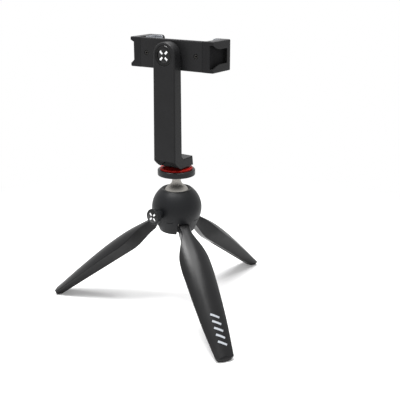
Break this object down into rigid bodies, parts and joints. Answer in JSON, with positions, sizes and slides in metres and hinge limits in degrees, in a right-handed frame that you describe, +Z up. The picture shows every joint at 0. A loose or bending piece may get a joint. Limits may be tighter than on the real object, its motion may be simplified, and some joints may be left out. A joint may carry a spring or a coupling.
{
  "type": "mini tripod",
  "caption": "Folding mini tripod with bowed legs, a push-button ball head with a red-rimmed platform and an L-bracket carrying a sprung phone clamp with accessory shoes.",
  "frame": {"origin": "on the floor under the ball head's axis, midway between the three feet", "axes": "+Z up along the ball head's axis, +X along the clamp bar towards the right jaw, +Y towards the side that holds the phone"},
  "size_m": [0.2035, 0.1878, 0.2339],
  "materials": {
    "body_plastic": "fine matte texture",
    "jaw_plastic": "fine matte texture",
    "button_plastic": "satin",
    "cap_plastic": "satin gloss",
    "acetal": "natural",
    "foot_rubber": "matte",
    "rail_rubber": "matte",
    "grey_rubber": "matte",
    "red_rubber": "satin",
    "stud_steel": "satin",
    "steel": "satin",
    "black_steel": "blackened",
    "brass": "turned"
  },
  "bodies": {
    "head": {"hub_base": "body_plastic", "head_shell": "body_plastic", "leg_pin_1": "steel", "leg_pin_2": "steel", "leg_pin_3": "steel", "leg_washers": "acetal", "seat_springs": "steel"},
    "leg_1": {"leg_shell_1": "body_plastic", "leg_rail_1": "rail_rubber", "foot_pad_1": "foot_rubber"},
    "leg_2": {"leg_shell_2": "body_plastic", "leg_rail_2": "rail_rubber", "foot_pad_2": "foot_rubber"},
    "leg_3": {"leg_shell_3": "body_plastic", "leg_rail_3": "rail_rubber", "foot_pad_3": "foot_rubber"},
    "button": {"button_cap": "button_plastic", "release_fork": "acetal"},
    "seat": {"ball_seat": "acetal"},
    "ball_pan": {"ball_liner": "acetal"},
    "ball": {"ball_stud": "stud_steel", "platform_disc": "body_plastic", "platform_pad": "red_rubber", "mount_screw": "steel"},
    "bracket": {"bracket": "body_plastic", "thread_insert": "brass", "pivot_cap": "cap_plastic", "pivot_bolt": "steel", "pivot_washer": "acetal", "pivot_nut": "steel"},
    "clamp": {"clamp_body": "body_plastic", "clamp_cover": "body_plastic", "body_screws": "black_steel", "rest_pad": "grey_rubber", "jaw_spring_left": "steel", "jaw_spring_right": "steel"},
    "pinion": {"pinion": "acetal"},
    "jaw_left": {"jaw_left": "jaw_plastic", "jaw_pad_left": "grey_rubber", "rack_left": "acetal"},
    "jaw_right": {"jaw_right": "jaw_plastic", "jaw_pad_right": "grey_rubber", "rack_right": "acetal"}
  },
  "joints": [
    {"name": "leg_fold_1", "type": "hinge", "parent": "head", "child": "leg_1", "pos_m": [0.01294, -0.00941, 0.0808], "axis": [0.5878, 0.809, 0], "range_deg": [0, 54.9]},
    {"name": "leg_fold_2", "type": "hinge", "parent": "head", "child": "leg_2", "pos_m": [0.00167, 0.01591, 0.0808], "axis": [-0.9945, 0.1045, 0], "range_deg": [0, 54.9]},
    {"name": "leg_fold_3", "type": "hinge", "parent": "head", "child": "leg_3", "pos_m": [-0.01462, -0.00651, 0.0808], "axis": [0.4067, -0.9135, 0], "range_deg": [0, 54.9]},
    {"name": "button_press", "type": "slide", "parent": "head", "child": "button", "axis": [0.1045, 0.9945, 0], "range_m": [0, 0.0025], "stiffness_N_per_m": 1500, "springref_m": -0.0015},
    {"name": "seat_drop", "type": "slide", "parent": "head", "child": "seat", "axis": [0, 0, -1], "range_m": [0, 0.0004], "deforming": ["seat_springs"]},
    {"name": "ball_turn", "type": "hinge", "parent": "head", "child": "ball_pan", "pos_m": [0, 0, 0.1], "axis": [0, 0, 1], "continuous": true},
    {"name": "ball_tilt", "type": "hinge", "parent": "ball_pan", "child": "ball", "pos_m": [0, 0, 0.1], "axis": [1, 0, 0], "range_deg": [-30, 30]},
    {"name": "bracket_turn", "type": "hinge", "parent": "ball", "child": "bracket", "pos_m": [0, 0, 0.12768], "axis": [0, 0, 1], "continuous": true},
    {"name": "clamp_turn", "type": "hinge", "parent": "bracket", "child": "clamp", "pos_m": [0, -0.007, 0.2216], "axis": [0, 1, 0], "continuous": true},
    {"name": "jaw_open_left", "type": "slide", "parent": "clamp", "child": "jaw_left", "axis": [-1, 0, 0], "range_m": [0, 0.0125], "stiffness_N_per_m": 200, "springref_m": -0.01},
    {"name": "jaw_open_right", "type": "slide", "parent": "clamp", "child": "jaw_right", "axis": [1, 0, 0], "range_m": [0, 0.0125], "stiffness_N_per_m": 200, "springref_m": -0.01},
    {"name": "pinion_turn", "type": "hinge", "parent": "clamp", "child": "pinion", "pos_m": [0, -0.0046, 0.2216], "axis": [0, -1, 0], "range_deg": [0, 102.32]}
  ],
  "couplings": [
    {"joint": "seat_drop", "follows": "button_press", "ratio": 0.16},
    {"joint": "pinion_turn", "follows": "jaw_open_left", "rad_per_m": 142.86},
    {"joint": "jaw_open_right", "follows": "jaw_open_left", "ratio": 1}
  ]
}
